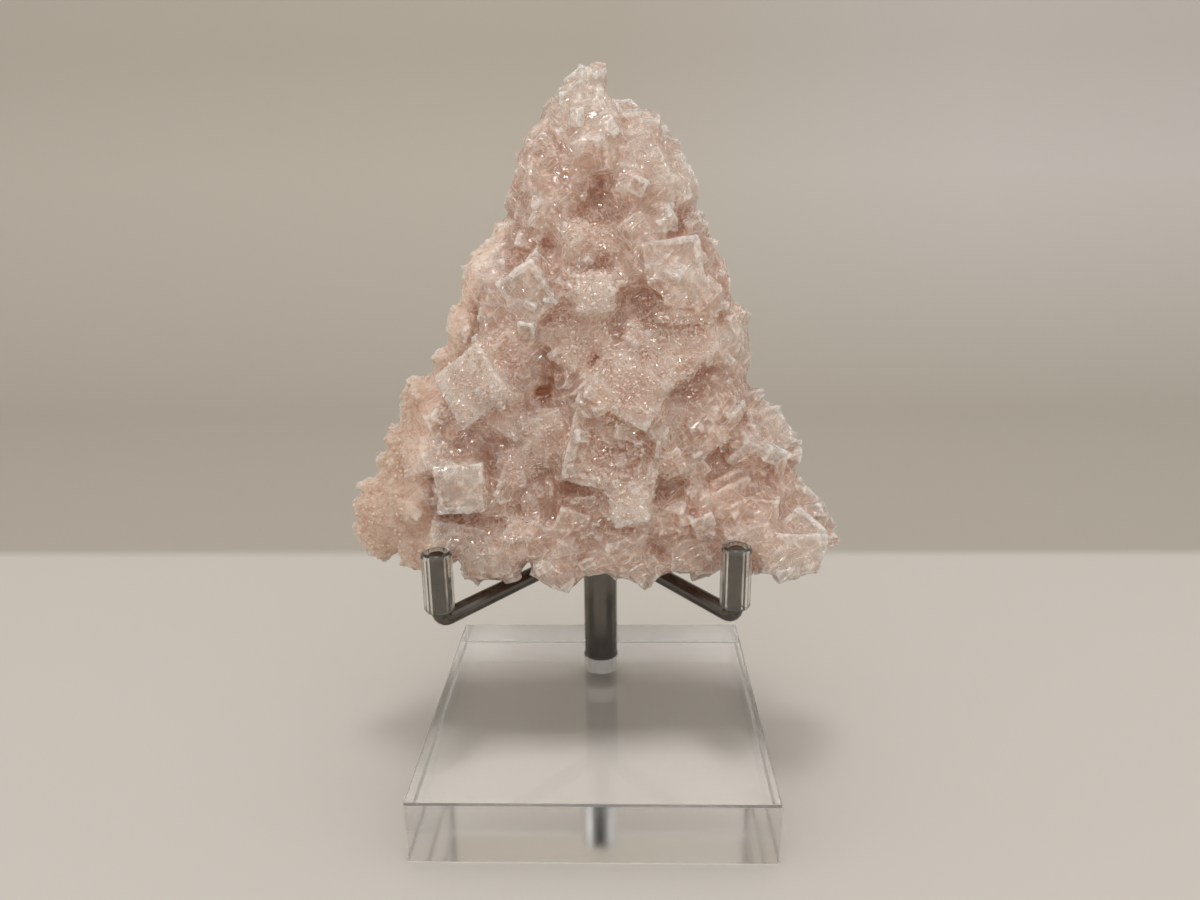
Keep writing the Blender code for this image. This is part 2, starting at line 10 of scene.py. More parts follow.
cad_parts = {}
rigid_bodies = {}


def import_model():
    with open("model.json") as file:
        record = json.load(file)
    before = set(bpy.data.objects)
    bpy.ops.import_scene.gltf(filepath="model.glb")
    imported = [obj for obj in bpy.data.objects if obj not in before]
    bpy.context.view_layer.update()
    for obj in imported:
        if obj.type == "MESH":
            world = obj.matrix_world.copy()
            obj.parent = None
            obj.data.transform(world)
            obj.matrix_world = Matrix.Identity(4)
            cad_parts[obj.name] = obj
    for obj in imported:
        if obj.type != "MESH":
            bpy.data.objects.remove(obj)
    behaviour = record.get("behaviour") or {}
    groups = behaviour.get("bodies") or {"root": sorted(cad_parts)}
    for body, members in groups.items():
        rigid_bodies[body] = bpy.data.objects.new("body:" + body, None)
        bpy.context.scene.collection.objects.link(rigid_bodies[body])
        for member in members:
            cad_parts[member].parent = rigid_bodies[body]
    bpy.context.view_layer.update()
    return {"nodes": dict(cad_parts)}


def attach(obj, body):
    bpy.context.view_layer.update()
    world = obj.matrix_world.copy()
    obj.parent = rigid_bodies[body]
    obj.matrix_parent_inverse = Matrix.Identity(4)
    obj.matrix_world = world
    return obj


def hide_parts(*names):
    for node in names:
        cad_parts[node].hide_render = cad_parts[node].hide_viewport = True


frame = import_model()
scene = bpy.context.scene
mm = 0.001

# The cluster is a slab that leans back on its stand. Its own directions are
# across, out of its back, and up along it: places below are millimetres in these.
slab = {
    "seat": (0, 4.0, 50.1),
    "leanDegrees": 6.0,
}

# Where the outline is drawn in or out: across, up, radius, push across, push up
pushes = [
    (-9, 106, 5, 1.5, 0.0), (-6, 113, 6, 1.0, 0.0), (-4, 117, 3.5, 1.0, -0.5),
    (9, 111, 4.5, -3.4, -0.8), (50, 11, 8, 2.0, 0), (39, 39, 4, -2.6, 0),
    (2, 115, 2.5, 0.4, 0.5), (-13, 102, 4, -1.6, 0.6), (20, 98, 4, -1.0, 0),
    (-30, 71, 4, 1.4, 0), (-36, 55, 6, 1.6, 0), (-46, 40, 6, -1.4, 0.3),
    (-58, 17, 4, -2.2, 0.6), (-52, 2, 5, 0, -1.2), (-39, 3, 5, 0, -1.3),
    (-30, -3.5, 3, 0, 1.6), (1, -2, 6, 0, 1.1), (28, -2, 5, 0, 1.3),
    (47, 31.5, 4, 1.8, 0), (50, 21, 3, -2.2, 0), (56, 9, 4, 1.6, 0),
    (54, 1, 3, -1.4, 0), (36.5, 60, 4, -1.0, 0), (-16.5, -2, 2.0, 0, -1.4),
    (-19.6, -1.9, 1.8, 0, 0.5), (12, -5, 3, 0, -0.8), (23, 90, 4, 0.9, 0),
    (-18, 91, 5, -0.9, 0),
]

# Where the ground keeps low, so that ribs and hoppers stand clear: across, up, radius
bareGround = [
    (35, 29, 11), (5, 33, 11), (-33, 17, 7), (19, 56, 8), (-27, 46, 8), (22, 78, 7),
    (-3, 17, 7), (48, 12, 8), (-13, 70, 7),
]

# Wet, crumpled faces that glitter: across, up, radius
wetSpots = [
    (18, 28, 3), (31, 31, 3), (-15, 12, 4), (-2, 58, 4), (17, 55, 5), (-24, 44, 5),
    (12, 12, 3), (-6, 5, 5), (34, 44, 4), (-33, 17, 4), (24, 60, 5), (-2, 88, 4),
    (8, 96, 4), (-12, 36, 4), (4, 21, 3), (26, 12, 4),
]

# Where small sparkling crystals crowd: across, up, radius
sugarPatches = [
    (19, 55, 9), (14, 58, 6), (-3, 57, 7), (8, 46, 8), (3, 49, 5),
    (-27, 46, 8), (-21, 42, 5), (-17, 28, 4), (-10, 35, 5), (8, 19, 5),
    (-18, 11, 5), (1, 66, 5), (4, 30, 6), (18, 28, 3), (28, 33, 3),
    (0, 78, 5), (-18, 53, 5),
]

# Rust spots, and salmon painted shade in hollows: across, up, radius, strength
rustSpotsAndHollowShade = [
    (-9.4, 47.5, 3.0, 1.15), (-11, 43.6, 1.9, 3.0), (1, 86, 7, 0.6), (11, 65, 6, 0.7),
    (23, 46, 6, 0.8), (-29, 33, 5, 0.6), (-8, 21, 6, 0.7), (-37, 22, 4, 0.7),
    (14, 24, 4, 0.5), (27, 23, 2, 1.0), (16, 12, 4, 0.6), (-4, 47, 4, 0.5),
]

# Whiter blocks: across, up, radius
paleBlocks = [
    (-1, 106, 10), (19, 91, 7), (10, 99, 8), (19, 72, 7), (1, 66, 5),
    (43, 33, 6), (50, 14, 7), (-27, 46, 8), (-30, 23, 5), (-24, 73, 5),
    (8, 19, 5), (32, 54, 6), (-14, 66, 5), (46, 6, 6),
]


def linear(hexColour):
    # sRGB hex to the linear colour a shader wants
    channels = [int(hexColour[i:i + 2], 16) / 255 for i in (1, 3, 5)]
    return [
        c / 12.92 if c <= 0.04045 else ((c + 0.055) / 1.055) ** 2.4 for c in channels
    ] + [1.0]


def patternScale(size):
    # a texture's scale, from the size in millimetres of one of its cells
    return 1.0 / (size * mm)


def addNode(tree, kind, settings=None, links=None, **attributes):
    # one node with its attributes, its socket values and what feeds its sockets
    node = tree.nodes.new(kind)
    for name, value in attributes.items():
        setattr(node, name, value)
    for key, value in (settings or {}).items():
        node.inputs[key].default_value = value
    for key, source in (links or {}).items():
        tree.links.new(source, node.inputs[key])
    return node


def newMaterial(name):
    material = bpy.data.materials.new(name)
    material.use_nodes = True
    tree = material.node_tree
    return material, tree, tree.nodes["Principled BSDF"]


def setFinish(piece, material):
    piece.data.materials.clear()
    piece.data.materials.append(material)


def objectFrom(data, name):
    piece = bpy.data.objects.new(name, data)
    scene.collection.objects.link(piece)
    return piece


def bakedMesh(piece, name):
    # the object as its modifiers leave it, as a plain mesh
    graph = bpy.context.evaluated_depsgraph_get()
    mesh = bpy.data.meshes.new_from_object(piece.evaluated_get(graph))
    mesh.name = name
    return mesh


def pointsOf(mesh):
    points = np.empty(len(mesh.vertices) * 3)
    mesh.vertices.foreach_get("co", points)
    return points.reshape(-1, 3)


def normalsOf(mesh):
    normals = np.empty(len(mesh.vertices) * 3)
    mesh.vertex_normals.foreach_get("vector", normals)
    return normals.reshape(-1, 3)


def movePoints(mesh, points):
    mesh.vertices.foreach_set("co", points.ravel())
    mesh.update()


def storeShare(mesh, name, values):
    # one value a vertex, which may pass 1 where a patch is stronger than that
    most = 4
    layer = mesh.attributes.new(name, "FLOAT", "POINT")
    layer.data.foreach_set("value", np.clip(values, 0, most).astype(np.float32))


def treeOf(points):
    tree = KDTree(len(points))
    for i, point in enumerate(points):
        tree.insert(point, i)
    tree.balance()
    return tree


leanMatrix = np.array(Matrix.Rotation(math.radians(-slab["leanDegrees"]), 3, "X"))
seat = np.array(slab["seat"])


def slabPlace(points):
    # millimetres across, back and up the slab
    return (points / mm - seat) @ leanMatrix


def patchShare(place, patches):
    # highest in the middle of each patch, gone past its radius, and none behind
    share = np.zeros(len(place))
    for across, up, radius, *strength in patches:
        away = np.hypot(place[:, 0] - across, place[:, 2] - up) / radius
        share = np.maximum(share, np.exp(-away ** 4) * (strength[0] if strength else 1))
    return share * (place[:, 1] < 0)


def neighbourMean(mesh, values, rounds):
    # each vertex's value drawn towards the mean of its edge neighbours
    kept, drawn = 0.3, 0.7
    pairs = np.empty(len(mesh.edges) * 2, np.int64)
    mesh.edges.foreach_get("vertices", pairs)
    pairs = pairs.reshape(-1, 2)
    both = np.concatenate([pairs, pairs[:, ::-1]])
    count = np.maximum(np.bincount(both[:, 0], minlength=len(values)), 1)
    for _ in range(rounds):
        columns = [
            np.bincount(both[:, 0], values[both[:, 1], i], len(values)) / count
            for i in range(values.shape[1])
        ]
        values = kept * values + drawn * np.stack(columns, axis=1)
    return values


def noiseAt(place, size, shift=0.0):
    offset = Vector((shift,) * 3)
    return np.array([noise.noise(Vector(point) / size + offset) for point in place])


def remeshed(mesh, voxel, name):
    # one even skin over everything in the mesh
    work = objectFrom(mesh, name + "Work")
    remesh = work.modifiers.new("Remesh", "REMESH")
    remesh.mode = "VOXEL"
    remesh.voxel_size = voxel * mm
    skin = bakedMesh(work, name)
    bpy.data.objects.remove(work)
    return skin


def thinned(mesh, most):
    # fewer triangles, taken where the skin is flat
    mesh.calc_loop_triangles()
    count = len(mesh.loop_triangles)
    work = objectFrom(mesh, "thinWork")
    work.modifiers.new("Triangles", "TRIANGULATE")
    if count > most:
        thin = work.modifiers.new("Thin", "DECIMATE")
        thin.ratio = most / count
    result = bakedMesh(work, mesh.name)
    bpy.data.objects.remove(work)
    print("cluster:", count, "triangles, thinned to", len(result.polygons))
    return result


# The crust covers the left flank. Its edge runs through these places, up and
# across, and breaks off above the last one. Sizes are millimetres.
crustFlank = {
    "edge": [(2, -38), (25, -42), (45, -37), (60, -31), (75, -25), (82, -21)],
    "blend": 8.0,
    "breakOff": 60,
    "rippleHeight": 0.55,
    "rippleSize": 1.9,
    "rippleShape": [0.6, 1, 1.6],  # longer across than up
    "ripplePlace": 5.0,
}


def crustShare(place):
    # 1 on the crusted left flank, 0 on the crystal front
    heights = [height for height, across in crustFlank["edge"]]
    edges = [across for height, across in crustFlank["edge"]]
    edge = np.interp(place[:, 2], heights, edges)
    edge = edge - crustFlank["breakOff"] * np.clip(place[:, 2] - heights[-1], 0, 1)
    share = (edge - place[:, 0]) / crustFlank["blend"] + 0.5
    return np.clip(share, 0, 1)


# Crystals and grains grown on a surface: how many a square metre at most, then
# their spacing and sizes in millimetres, and how far they tilt in degrees
growth = {
    "intergrown": {
        "density": 90000.0, "spacing": 2.2, "smallest": 1.3, "largest": 4.6,
        "tilt": 30, "seed": 12, "where": "blocks",
    },
    "sugar": {
        "density": 2400000.0, "spacing": 0.28, "smallest": 0.24, "largest": 0.6,
        "tilt": 50, "seed": 8, "where": "sugar",
    },
    "crust": {
        "density": 420000.0, "spacing": 0.8, "smallest": 0.4, "largest": 1.2,
        "tilt": 90, "seed": 5, "where": "crust",
    },
}

# Shares of a crystal one unit wide
crystal = {
    "stepWidth": 0.13,
    "stepDepth": 0.09,
    "easing": 0.06,
}

# How one grown crystal differs from the next
variety = {
    "swirlScale": 110.0,  # crystals within about 9 mm of one another turn alike
    "swirlTurn": 12.0,
    "fewLarge": 2.2,  # the higher, the fewer large ones
    "thinnest": (0.75, 0.75, 0.8),
    "thickest": (1.3, 1.3, 1.2),
    "leanSeed": 71,
    "sizeSeed": 29,
    "shapeSeed": 31,
}


def unitCube(name, steps, width, sink, eased=False):
    # a small crystal, with hopper steps in its top or slightly eased edges
    build = bmesh.new()
    bmesh.ops.create_cube(build, size=1.0)
    bmesh.ops.scale(build, vec=(1, width, 1), verts=build.verts)
    bmesh.ops.translate(build, vec=(0, 0, 0.5 - sink), verts=build.verts)
    top = max(build.faces, key=lambda face: face.calc_center_median().z)
    for _ in range(steps):
        bmesh.ops.inset_region(build, faces=[top], thickness=crystal["stepWidth"])
        made = bmesh.ops.extrude_discrete_faces(build, faces=[top])
        top = made["faces"][0]
        bmesh.ops.translate(build, vec=(0, 0, -crystal["stepDepth"]), verts=top.verts)
    if eased:
        bmesh.ops.bevel(
            build, geom=list(build.edges), offset=crystal["easing"], segments=1,
            affect="EDGES",
        )
    bmesh.ops.recalc_face_normals(build, faces=build.faces)
    mesh = bpy.data.meshes.new(name)
    build.to_mesh(mesh)
    build.free()
    return mesh


def unitCrumb(name, seed):
    # an uneven crumb of crust
    build = bmesh.new()
    bmesh.ops.create_icosphere(build, subdivisions=1, radius=0.5)
    random = np.random.default_rng(seed)
    for vertex in build.verts:
        vertex.co *= random.uniform(0.75, 1.2)
    mesh = bpy.data.meshes.new(name)
    build.to_mesh(mesh)
    build.free()
    mesh.shade_smooth()
    return mesh


def growTree():
    # scatters small shapes over a surface, where an attribute says they grow
    tree = bpy.data.node_groups.new("growCrystals", "GeometryNodeTree")
    sockets = {}
    wanted = [
        ("Surface", "NodeSocketGeometry"), ("Shapes", "NodeSocketCollection"),
        ("Density", "NodeSocketFloat"), ("Spacing", "NodeSocketFloat"),
        ("Smallest", "NodeSocketFloat"), ("Largest", "NodeSocketFloat"),
        ("Tilt", "NodeSocketFloat"), ("Seed", "NodeSocketInt"),
        ("Where", "NodeSocketString"), ("Finish", "NodeSocketMaterial"),
    ]
    for name, kind in wanted:
        item = tree.interface.new_socket(name, in_out="INPUT", socket_type=kind)
        sockets[name] = item.identifier
    tree.interface.new_socket("Growth", in_out="OUTPUT", socket_type="NodeSocketGeometry")
    given = addNode(tree, "NodeGroupInput").outputs
    index = addNode(tree, "GeometryNodeInputIndex").outputs[0]
    share = addNode(
        tree, "GeometryNodeInputNamedAttribute", {}, {"Name": given["Where"]},
        data_type="FLOAT",
    )
    spread = addNode(
        tree, "GeometryNodeDistributePointsOnFaces", {},
        {
            "Mesh": given["Surface"], "Distance Min": given["Spacing"],
            "Density Max": given["Density"], "Density Factor": share.outputs["Attribute"],
            "Seed": given["Seed"],
        },
        distribute_method="POISSON",
    )
    position = addNode(tree, "GeometryNodeInputPosition")
    drift = addNode(
        tree, "ShaderNodeTexNoise", {"Scale": variety["swirlScale"], "Detail": 1.0},
        {"Vector": position.outputs["Position"]},
    )
    spin = addNode(
        tree, "ShaderNodeMath", {1: variety["swirlTurn"]}, {0: drift.outputs[0]},
        operation="MULTIPLY",
    )
    tiltBack = addNode(
        tree, "ShaderNodeMath", {1: -1.0}, {0: given["Tilt"]}, operation="MULTIPLY"
    )
    lean = addNode(
        tree, "FunctionNodeRandomValue", {},
        {
            "Min": tiltBack.outputs[0], "Max": given["Tilt"], "Seed": given["Seed"],
            "ID": index,
        },
        data_type="FLOAT",
    )
    otherLean = addNode(
        tree, "FunctionNodeRandomValue", {"Seed": variety["leanSeed"]},
        {"Min": tiltBack.outputs[0], "Max": given["Tilt"], "ID": index},
        data_type="FLOAT",
    )
    turn = addNode(
        tree, "ShaderNodeCombineXYZ", {},
        {"X": lean.outputs[1], "Y": otherLean.outputs[1], "Z": spin.outputs[0]},
    )
    rotated = addNode(
        tree, "FunctionNodeRotateRotation", {},
        {"Rotation": spread.outputs["Rotation"], "Rotate By": turn.outputs[0]},
        rotation_space="LOCAL",
    )
    chance = addNode(
        tree, "FunctionNodeRandomValue",
        {"Min": 0.0, "Max": 1.0, "Seed": variety["sizeSeed"]}, {"ID": index},
        data_type="FLOAT",
    )
    skew = addNode(
        tree, "ShaderNodeMath", {1: variety["fewLarge"]}, {0: chance.outputs[1]},
        operation="POWER",
    )
    size = addNode(
        tree, "ShaderNodeMapRange", {},
        {"Value": skew.outputs[0], "To Min": given["Smallest"], "To Max": given["Largest"]},
    )
    shape = addNode(
        tree, "FunctionNodeRandomValue",
        {
            "Min": variety["thinnest"], "Max": variety["thickest"],
            "Seed": variety["shapeSeed"],
        },
        {"ID": index}, data_type="FLOAT_VECTOR",
    )
    scaled = addNode(
        tree, "ShaderNodeVectorMath", {}, {0: shape.outputs[0], "Scale": size.outputs[0]},
        operation="SCALE",
    )
    shapes = addNode(
        tree, "GeometryNodeCollectionInfo",
        {"Separate Children": True, "Reset Children": True},
        {"Collection": given["Shapes"]},
    )
    placed = addNode(
        tree, "GeometryNodeInstanceOnPoints", {"Pick Instance": True},
        {
            "Points": spread.outputs["Points"], "Instance": shapes.outputs[0],
            "Rotation": rotated.outputs[0], "Scale": scaled.outputs[0],
        },
    )
    real = addNode(tree, "GeometryNodeRealizeInstances", {}, {0: placed.outputs[0]})
    finished = addNode(
        tree, "GeometryNodeSetMaterial", {},
        {"Geometry": real.outputs[0], "Material": given["Finish"]},
    )
    addNode(tree, "NodeGroupOutput", {}, {0: finished.outputs[0]})
    return tree, sockets


def grow(name, settings, shapes, surface, growing, finish=None):
    # the shapes scattered over the surface, as one plain mesh
    tree, sockets = growing
    collection = bpy.data.collections.new(name + "Shapes")
    scene.collection.children.link(collection)
    for mesh in shapes:
        collection.objects.link(bpy.data.objects.new(mesh.name, mesh))
    work = objectFrom(surface.data.copy(), name + "Work")
    grower = work.modifiers.new("Grow", "NODES")
    grower.node_group = tree
    values = {
        "Shapes": collection,
        "Density": settings["density"],
        "Spacing": settings["spacing"] * mm,
        "Smallest": settings["smallest"] * mm,
        "Largest": settings["largest"] * mm,
        "Tilt": math.radians(settings["tilt"]),
        "Seed": settings["seed"],
        "Where": settings["where"],
    }
    if finish:
        values["Finish"] = finish
    for key, value in values.items():
        grower[sockets[key]] = value
    mesh = bakedMesh(work, name)
    bpy.data.objects.remove(work)
    for shape in list(collection.objects):
        bpy.data.objects.remove(shape)
    bpy.data.collections.remove(collection)
    mesh.calc_loop_triangles()
    print(name + ":", len(mesh.loop_triangles), "triangles")
    return objectFrom(mesh, name)


# Salt grown up between the crystals, in millimetres
ground = {
    "voxel": 1.1,
    "smoothing": 14,
    "filling": 0.8,
    "unevenness": 0.5,
    "unevenSize": 6.0,
    "unevenPlace": 7.0,
    "bareDrop": 1.5,
}

# Where blocks grow through it: in patches, more in front than behind, and only
# on what faces the viewer
blocky = {
    "patchSize": 10.0,
    "patchPlace": 23.0,
    "patchContrast": 2.5,
    "backEdge": 4,  # how far behind the slab's middle the front begins
    "frontBlend": 6,
    "least": 0.3,
    "turnedAway": 0.2,
    "facingContrast": 2.5,
}


def makeCoarse():
    # a coarse, even copy of the solid that says where the blocks grow
    mesh = remeshed(frame["nodes"]["halite"].data.copy(), ground["voxel"], "haliteCoarse")
    place = slabPlace(pointsOf(mesh))
    front = np.clip((blocky["backEdge"] - place[:, 1]) / blocky["frontBlend"], 0, 1)
    patch = noiseAt(place, blocky["patchSize"], blocky["patchPlace"])
    patch = np.clip(patch * blocky["patchContrast"] + 0.5, 0, 1)
    facing = -normalsOf(mesh)[:, 1] - blocky["turnedAway"]
    facing = np.clip(facing * blocky["facingContrast"], 0, 1)
    blocks = blocky["least"] + (1 - blocky["least"]) * front
    storeShare(mesh, "blocks", blocks * (1 - crustShare(place)) * patch * facing)
    return objectFrom(mesh, "halite_coarse")


def makeGround(coarse):
    # the coarse copy smoothed and grown, so that crystals stand in low relief
    mesh = coarse.data.copy()
    points = neighbourMean(mesh, pointsOf(mesh), ground["smoothing"])
    movePoints(mesh, points)
    place = slabPlace(points)
    uneven = noiseAt(place, ground["unevenSize"], ground["unevenPlace"])
    rise = ground["filling"] + ground["unevenness"] * uneven
    rise -= ground["bareDrop"] * patchShare(place, bareGround)
    movePoints(mesh, points + normalsOf(mesh) * rise[:, None] * mm)
    return mesh


# The fine relief on the skin, in millimetres
cluster = {
    "voxel": 0.37,  # size of the finest modelled relief
    "mostTriangles": 195000,
    "lumpSize": 6.0,
    "lumpHeight": 0.35,
    "crystalSize": 7.0,  # how far apart neighbouring growth directions change
    "crystalLean": 0.45,
    "crystalTurn": 0.8,
    "crystalSeed": 17,
    "terraceWidth": 1.7,
    "terraceHeight": 0.14,
    "terraceSteepness": 4,
    "terraceClimb": 0.15,
    "facetSize": 3.2,
    "facetTilt": 0.055,
    "facetSeed": 29,
    "edgeRounds": 4,  # few rounds of smoothing find the edges, for painted highlights
    "edgeGain": 4,
    "hillRounds": 90,  # and many find the hollows, for painted shade
    "hillGain": 0.5,
}


def cellsOver(place, size, seed):
    # the growth cell that holds each point, and where the point is in it
    random = np.random.default_rng(seed)
    low = place.min(axis=0) - size
    counts = np.ceil((place.max(axis=0) + size - low) / size).astype(int)
    grid = np.stack(
        np.meshgrid(*[np.arange(count) for count in counts], indexing="ij"), -1
    ).reshape(-1, 3)
    centres = low + (grid + random.uniform(0, 1, grid.shape)) * size
    tree = treeOf(centres)
    owner = np.array([tree.find(point)[1] for point in place])
    return owner, place - centres[owner], random, len(centres)


def terraces(place):
    # square growth steps, turned a different way in each crystal
    size, seed = cluster["crystalSize"], cluster["crystalSeed"]
    owner, inside, random, count = cellsOver(place, size, seed)
    most = cluster["crystalTurn"]
    turns = random.normal(0, cluster["crystalLean"], (count, 3))
    turns[:, 1] = random.uniform(-most, most, count)
    axes = np.array(
        [
            Matrix.Rotation(a, 3, "Z") @ Matrix.Rotation(b, 3, "Y") @ Matrix.Rotation(c, 3, "X")
            for a, b, c in turns
        ]
    )
    turned = np.einsum("nij,nj->ni", axes[owner], inside)
    reach = np.abs(turned).max(axis=1) / cluster["terraceWidth"]
    riser = np.clip((reach - np.floor(reach)) * cluster["terraceSteepness"], 0, 1)
    return riser + np.floor(reach) * cluster["terraceClimb"]


def facets(place):
    # broken faces: each small cell is flat, and leans its own way
    size, seed = cluster["facetSize"], cluster["facetSeed"]
    owner, inside, random, count = cellsOver(place, size, seed)
    lean = random.normal(0, 1, (count, 3))
    return np.einsum("nj,nj->n", lean[owner], inside)


def reliefOn(place):
    # how far the skin stands out: steps, facets, lumps, and ripples on the crust
    crust = crustShare(place)
    lift = cluster["terraceHeight"] * (terraces(place) - 0.5) * (1 - crust)
    lift += cluster["facetTilt"] * facets(place) * (1 - crust)
    lift += cluster["lumpHeight"] * noiseAt(place, cluster["lumpSize"])
    stretched = place * np.array(crustFlank["rippleShape"])
    ripple = noiseAt(stretched, crustFlank["rippleSize"], crustFlank["ripplePlace"])
    lift += crustFlank["rippleHeight"] * ripple * crust
    return lift


def pushed(points):
    # the outline's small corrections, each fading out over its radius
    place = slabPlace(points)
    across = np.zeros(len(points))
    upward = np.zeros(len(points))
    for x, z, radius, pushAcross, pushUp in pushes:
        away = np.hypot(place[:, 0] - x, place[:, 2] - z) / radius
        share = np.exp(-away ** 2)
        across += share * pushAcross
        upward += share * pushUp
    moved = points + np.outer(across, leanMatrix[:, 0]) * mm
    return moved + np.outer(upward, leanMatrix[:, 2]) * mm


def joinedCrystals(coarse, growing):
    # the solid, the blocks grown through it and the ground between, as one mesh
    shapes = [
        unitCube("blockPlain", 0, 1.0, 0.6, True),
        unitCube("blockHopper", 2, 1.0, 0.55),
        unitCube("blockLong", 1, 0.5, 0.6),
        unitCube("blockPlate", 0, 0.28, 0.6, True),
    ]
    blocks = grow("intergrowth", growth["intergrown"], shapes, coarse, growing)
    build = bmesh.new()
    build.from_mesh(frame["nodes"]["halite"].data)
    bmesh.ops.remove_doubles(build, verts=build.verts, dist=1e-6)
    build.from_mesh(blocks.data)
    build.from_mesh(makeGround(coarse))
    joined = bpy.data.meshes.new("joined")
    build.to_mesh(joined)
    build.free()
    bpy.data.objects.remove(blocks)
    return joined


def makeCluster(coarse, growing):
    # the grown mass under one skin, with rounded edges and fine steps
    mesh = remeshed(joinedCrystals(coarse, growing), cluster["voxel"], "haliteCluster")
    points = pointsOf(mesh)
    normals = normalsOf(mesh)
    print("cluster: relief on", len(points), "points")
    lift = reliefOn(slabPlace(points))
    points = pushed(points + normals * lift[:, None] * mm)
    movePoints(mesh, points)
    # the edge measure below feeds painted highlights on ridges, the hill measure painted shade
    # in hollows
    fine = (points - neighbourMean(mesh, points, cluster["edgeRounds"])) / mm
    broad = (points - neighbourMean(mesh, points, cluster["hillRounds"])) / mm
    edge = 0.5 + np.einsum("ni,ni->n", fine, normals) * cluster["edgeGain"]
    hill = 0.5 + np.einsum("ni,ni->n", broad, normals) * cluster["hillGain"]
    mesh = thinned(mesh, cluster["mostTriangles"])
    tree = treeOf(points)
    nearest = np.array([tree.find(vertex.co)[1] for vertex in mesh.vertices])
    place = slabPlace(pointsOf(mesh))
    crust = crustShare(place)
    shares = {
        "edge": edge[nearest],
        "hill": hill[nearest],
        "crust": crust,
        "sugar": patchShare(place, sugarPatches) * (1 - crust),
        "pocket": patchShare(place, rustSpotsAndHollowShade),
        "pale": patchShare(place, paleBlocks),
        "wet": patchShare(place, wetSpots),
    }
    for name, values in shares.items():
        storeShare(mesh, name, values)
    mesh.shade_smooth()
    return objectFrom(mesh, "halite_cluster")


def layered(tree, base, layers):
    # a colour with others laid over it, each a hex value or a socket: a layer
    # comes in as its share goes from start to end, and hides this much of the rest
    for share, start, end, cover, colour in layers:
        amount = addNode(
            tree, "ShaderNodeMapRange",
            {"From Min": start, "From Max": end, "To Min": 0.0, "To Max": cover},
            {"Value": share},
        ).outputs[0]
        mix = addNode(tree, "ShaderNodeMix", {}, {0: amount}, data_type="RGBA")
        for index, value in ((6, base), (7, colour)):
            if isinstance(value, str):
                mix.inputs[index].default_value = linear(value)
            else:
                tree.links.new(value, mix.inputs[index])
        base = mix.outputs[2]
    return base


def leaning(tree, place, size, shift):
    # flat cells of a broken crystal: height, cell colour and distance to the rim
    moved = addNode(
        tree, "ShaderNodeVectorMath", {1: (shift, shift, shift)}, {0: place},
        operation="ADD",
    ).outputs[0]
    cells = addNode(
        tree, "ShaderNodeTexVoronoi", {"Scale": patternScale(size)}, {"Vector": moved}
    )
    rim = addNode(
        tree, "ShaderNodeTexVoronoi", {"Scale": patternScale(size)}, {"Vector": moved},
        feature="DISTANCE_TO_EDGE",
    ).outputs["Distance"]
    inside = addNode(
        tree, "ShaderNodeVectorMath", {}, {0: moved, 1: cells.outputs["Position"]},
        operation="SUBTRACT",
    ).outputs[0]
    lean = addNode(
        tree, "ShaderNodeVectorMath", {1: (0.5, 0.5, 0.5)}, {0: cells.outputs["Color"]},
        operation="SUBTRACT",
    ).outputs[0]
    height = addNode(
        tree, "ShaderNodeVectorMath", {}, {0: inside, 1: lean}, operation="DOT_PRODUCT"
    ).outputs["Value"]
    share = addNode(
        tree, "ShaderNodeSeparateColor", {}, {0: cells.outputs["Color"]}
    ).outputs[0]
    return height, share, rim


def growthLines(tree, place, size, pitch, turn, axis):
    # thin square lines, nested round each crystal's middle: 1 on a line
    turned = addNode(
        tree, "ShaderNodeVectorRotate", {"Angle": turn, "Axis": axis},
        {"Vector": place}, rotation_type="AXIS_ANGLE",
    ).outputs[0]
    cells = addNode(
        tree, "ShaderNodeTexVoronoi", {"Scale": patternScale(size)}, {"Vector": turned},
        distance="CHEBYCHEV",
    )
    steps = addNode(
        tree, "ShaderNodeMath", {1: size / pitch}, {0: cells.outputs["Distance"]},
        operation="MULTIPLY",
    ).outputs[0]
    swing = addNode(
        tree, "ShaderNodeMath", {1: 1.0}, {0: steps}, operation="PINGPONG"
    ).outputs[0]
    line = addNode(
        tree, "ShaderNodeMapRange", {"From Min": 0.6, "From Max": 0.95}, {"Value": swing}
    ).outputs[0]
    share = addNode(
        tree, "ShaderNodeSeparateColor", {}, {0: cells.outputs["Color"]}
    ).outputs[1]
    lined = addNode(
        tree, "ShaderNodeMapRange", {"From Min": 0.1, "From Max": 0.5}, {"Value": share}
    ).outputs[0]
    return addNode(
        tree, "ShaderNodeMath", {}, {0: line, 1: lined}, operation="MULTIPLY"
    ).outputs[0]


# Colours, how the salt takes light, and the sizes of its patterns in millimetres
haliteLook = {
    "milky": "#EED4C4",  # cloudy white of the outer growth
    "white": "#F8E8DC",
    "pink": "#E2BBA6",
    "salmon": "#CC987E",  # random cells, and painted shade in hollows and pockets
    "rust": "#A86238",
    "cream": "#E3CAB7",  # of the crust, with tan in it
    "tan": "#CDA78F",
    "clear": 0.46,  # how far the skin lets the eye in
    "wet": 0.05,
    "dry": 0.32,
    "crustDull": 0.4,  # how much rougher the crust is than the crystals
    "scatter": 11.0,
    "refraction": 1.544,
    "bend": 0.3,
    "bendSize": 3.84615,
    "cloudSize": 9.09091,
    "veilSize": 2.38095,
    "powderSize": 1.42857,
    "crumpleSize": 0.666667,
    "broadFace": 3.8,
    "smallFace": 1.5,
    "glintFace": 1.0,
}

# Sets of nested lines: size of a crystal and spacing of its lines in
# millimetres, then how far they are turned and about which axis
lineSets = [
    (8.0, 0.8, 0.78, (0.15, 1.0, 0.1)),
    (5.5, 0.62, 0.12, (0.2, 1.0, 0.3)),
    (6.5, 0.7, 1.1, (1.0, 0.6, 0.2)),
]


